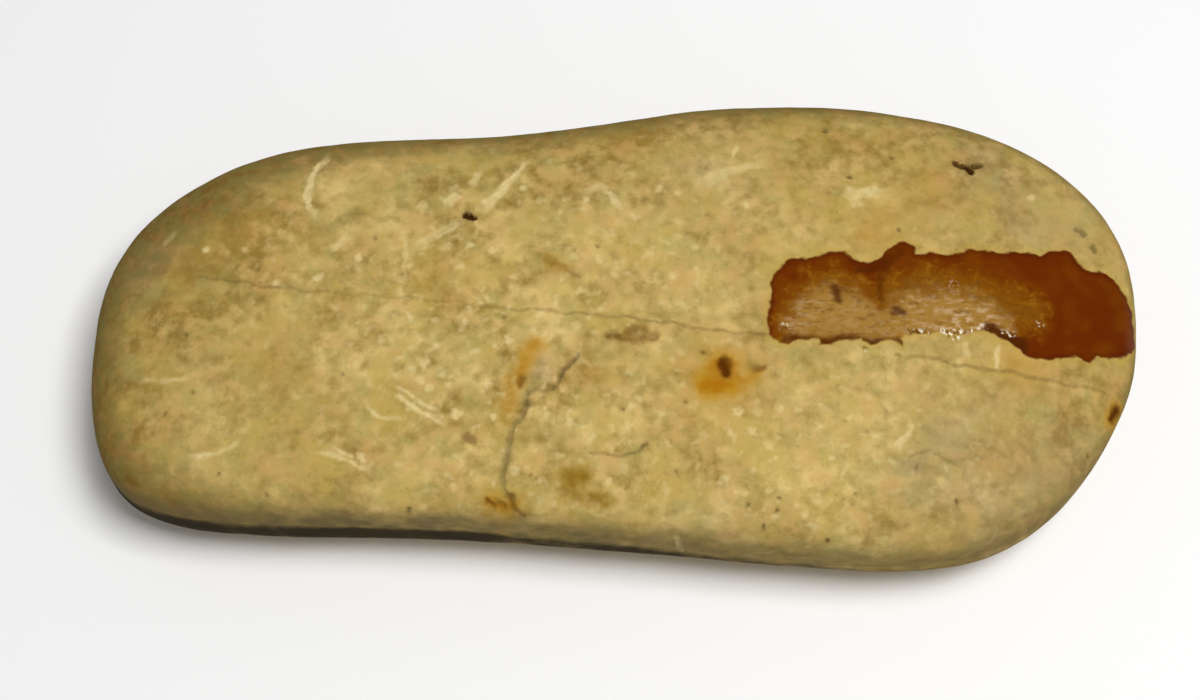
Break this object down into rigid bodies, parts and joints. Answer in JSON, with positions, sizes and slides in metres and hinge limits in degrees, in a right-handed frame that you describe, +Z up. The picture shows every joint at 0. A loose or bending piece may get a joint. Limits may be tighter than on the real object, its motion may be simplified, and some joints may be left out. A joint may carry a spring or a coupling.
{
  "type": "river stone",
  "caption": "Flat, water-worn river cobble with a sole-shaped outline, soft edges, an open crack and a few small pits, resting on a small flat spot.",
  "frame": {"origin": "on the surface the stone rests on, under the middle of its box", "axes": "+X along the stone towards its wide end, +Z up through its thickness, +Y across it"},
  "size_m": [0.1942, 0.0898, 0.0377],
  "materials": {
    "stone": "water-worn, satin matt tan stone with mottling, pale scratches, a hairline vein, rust stains and one strip of brown varnish"
  },
  "bodies": {
    "root": {"river_stone": "stone"}
  },
  "joints": []
}
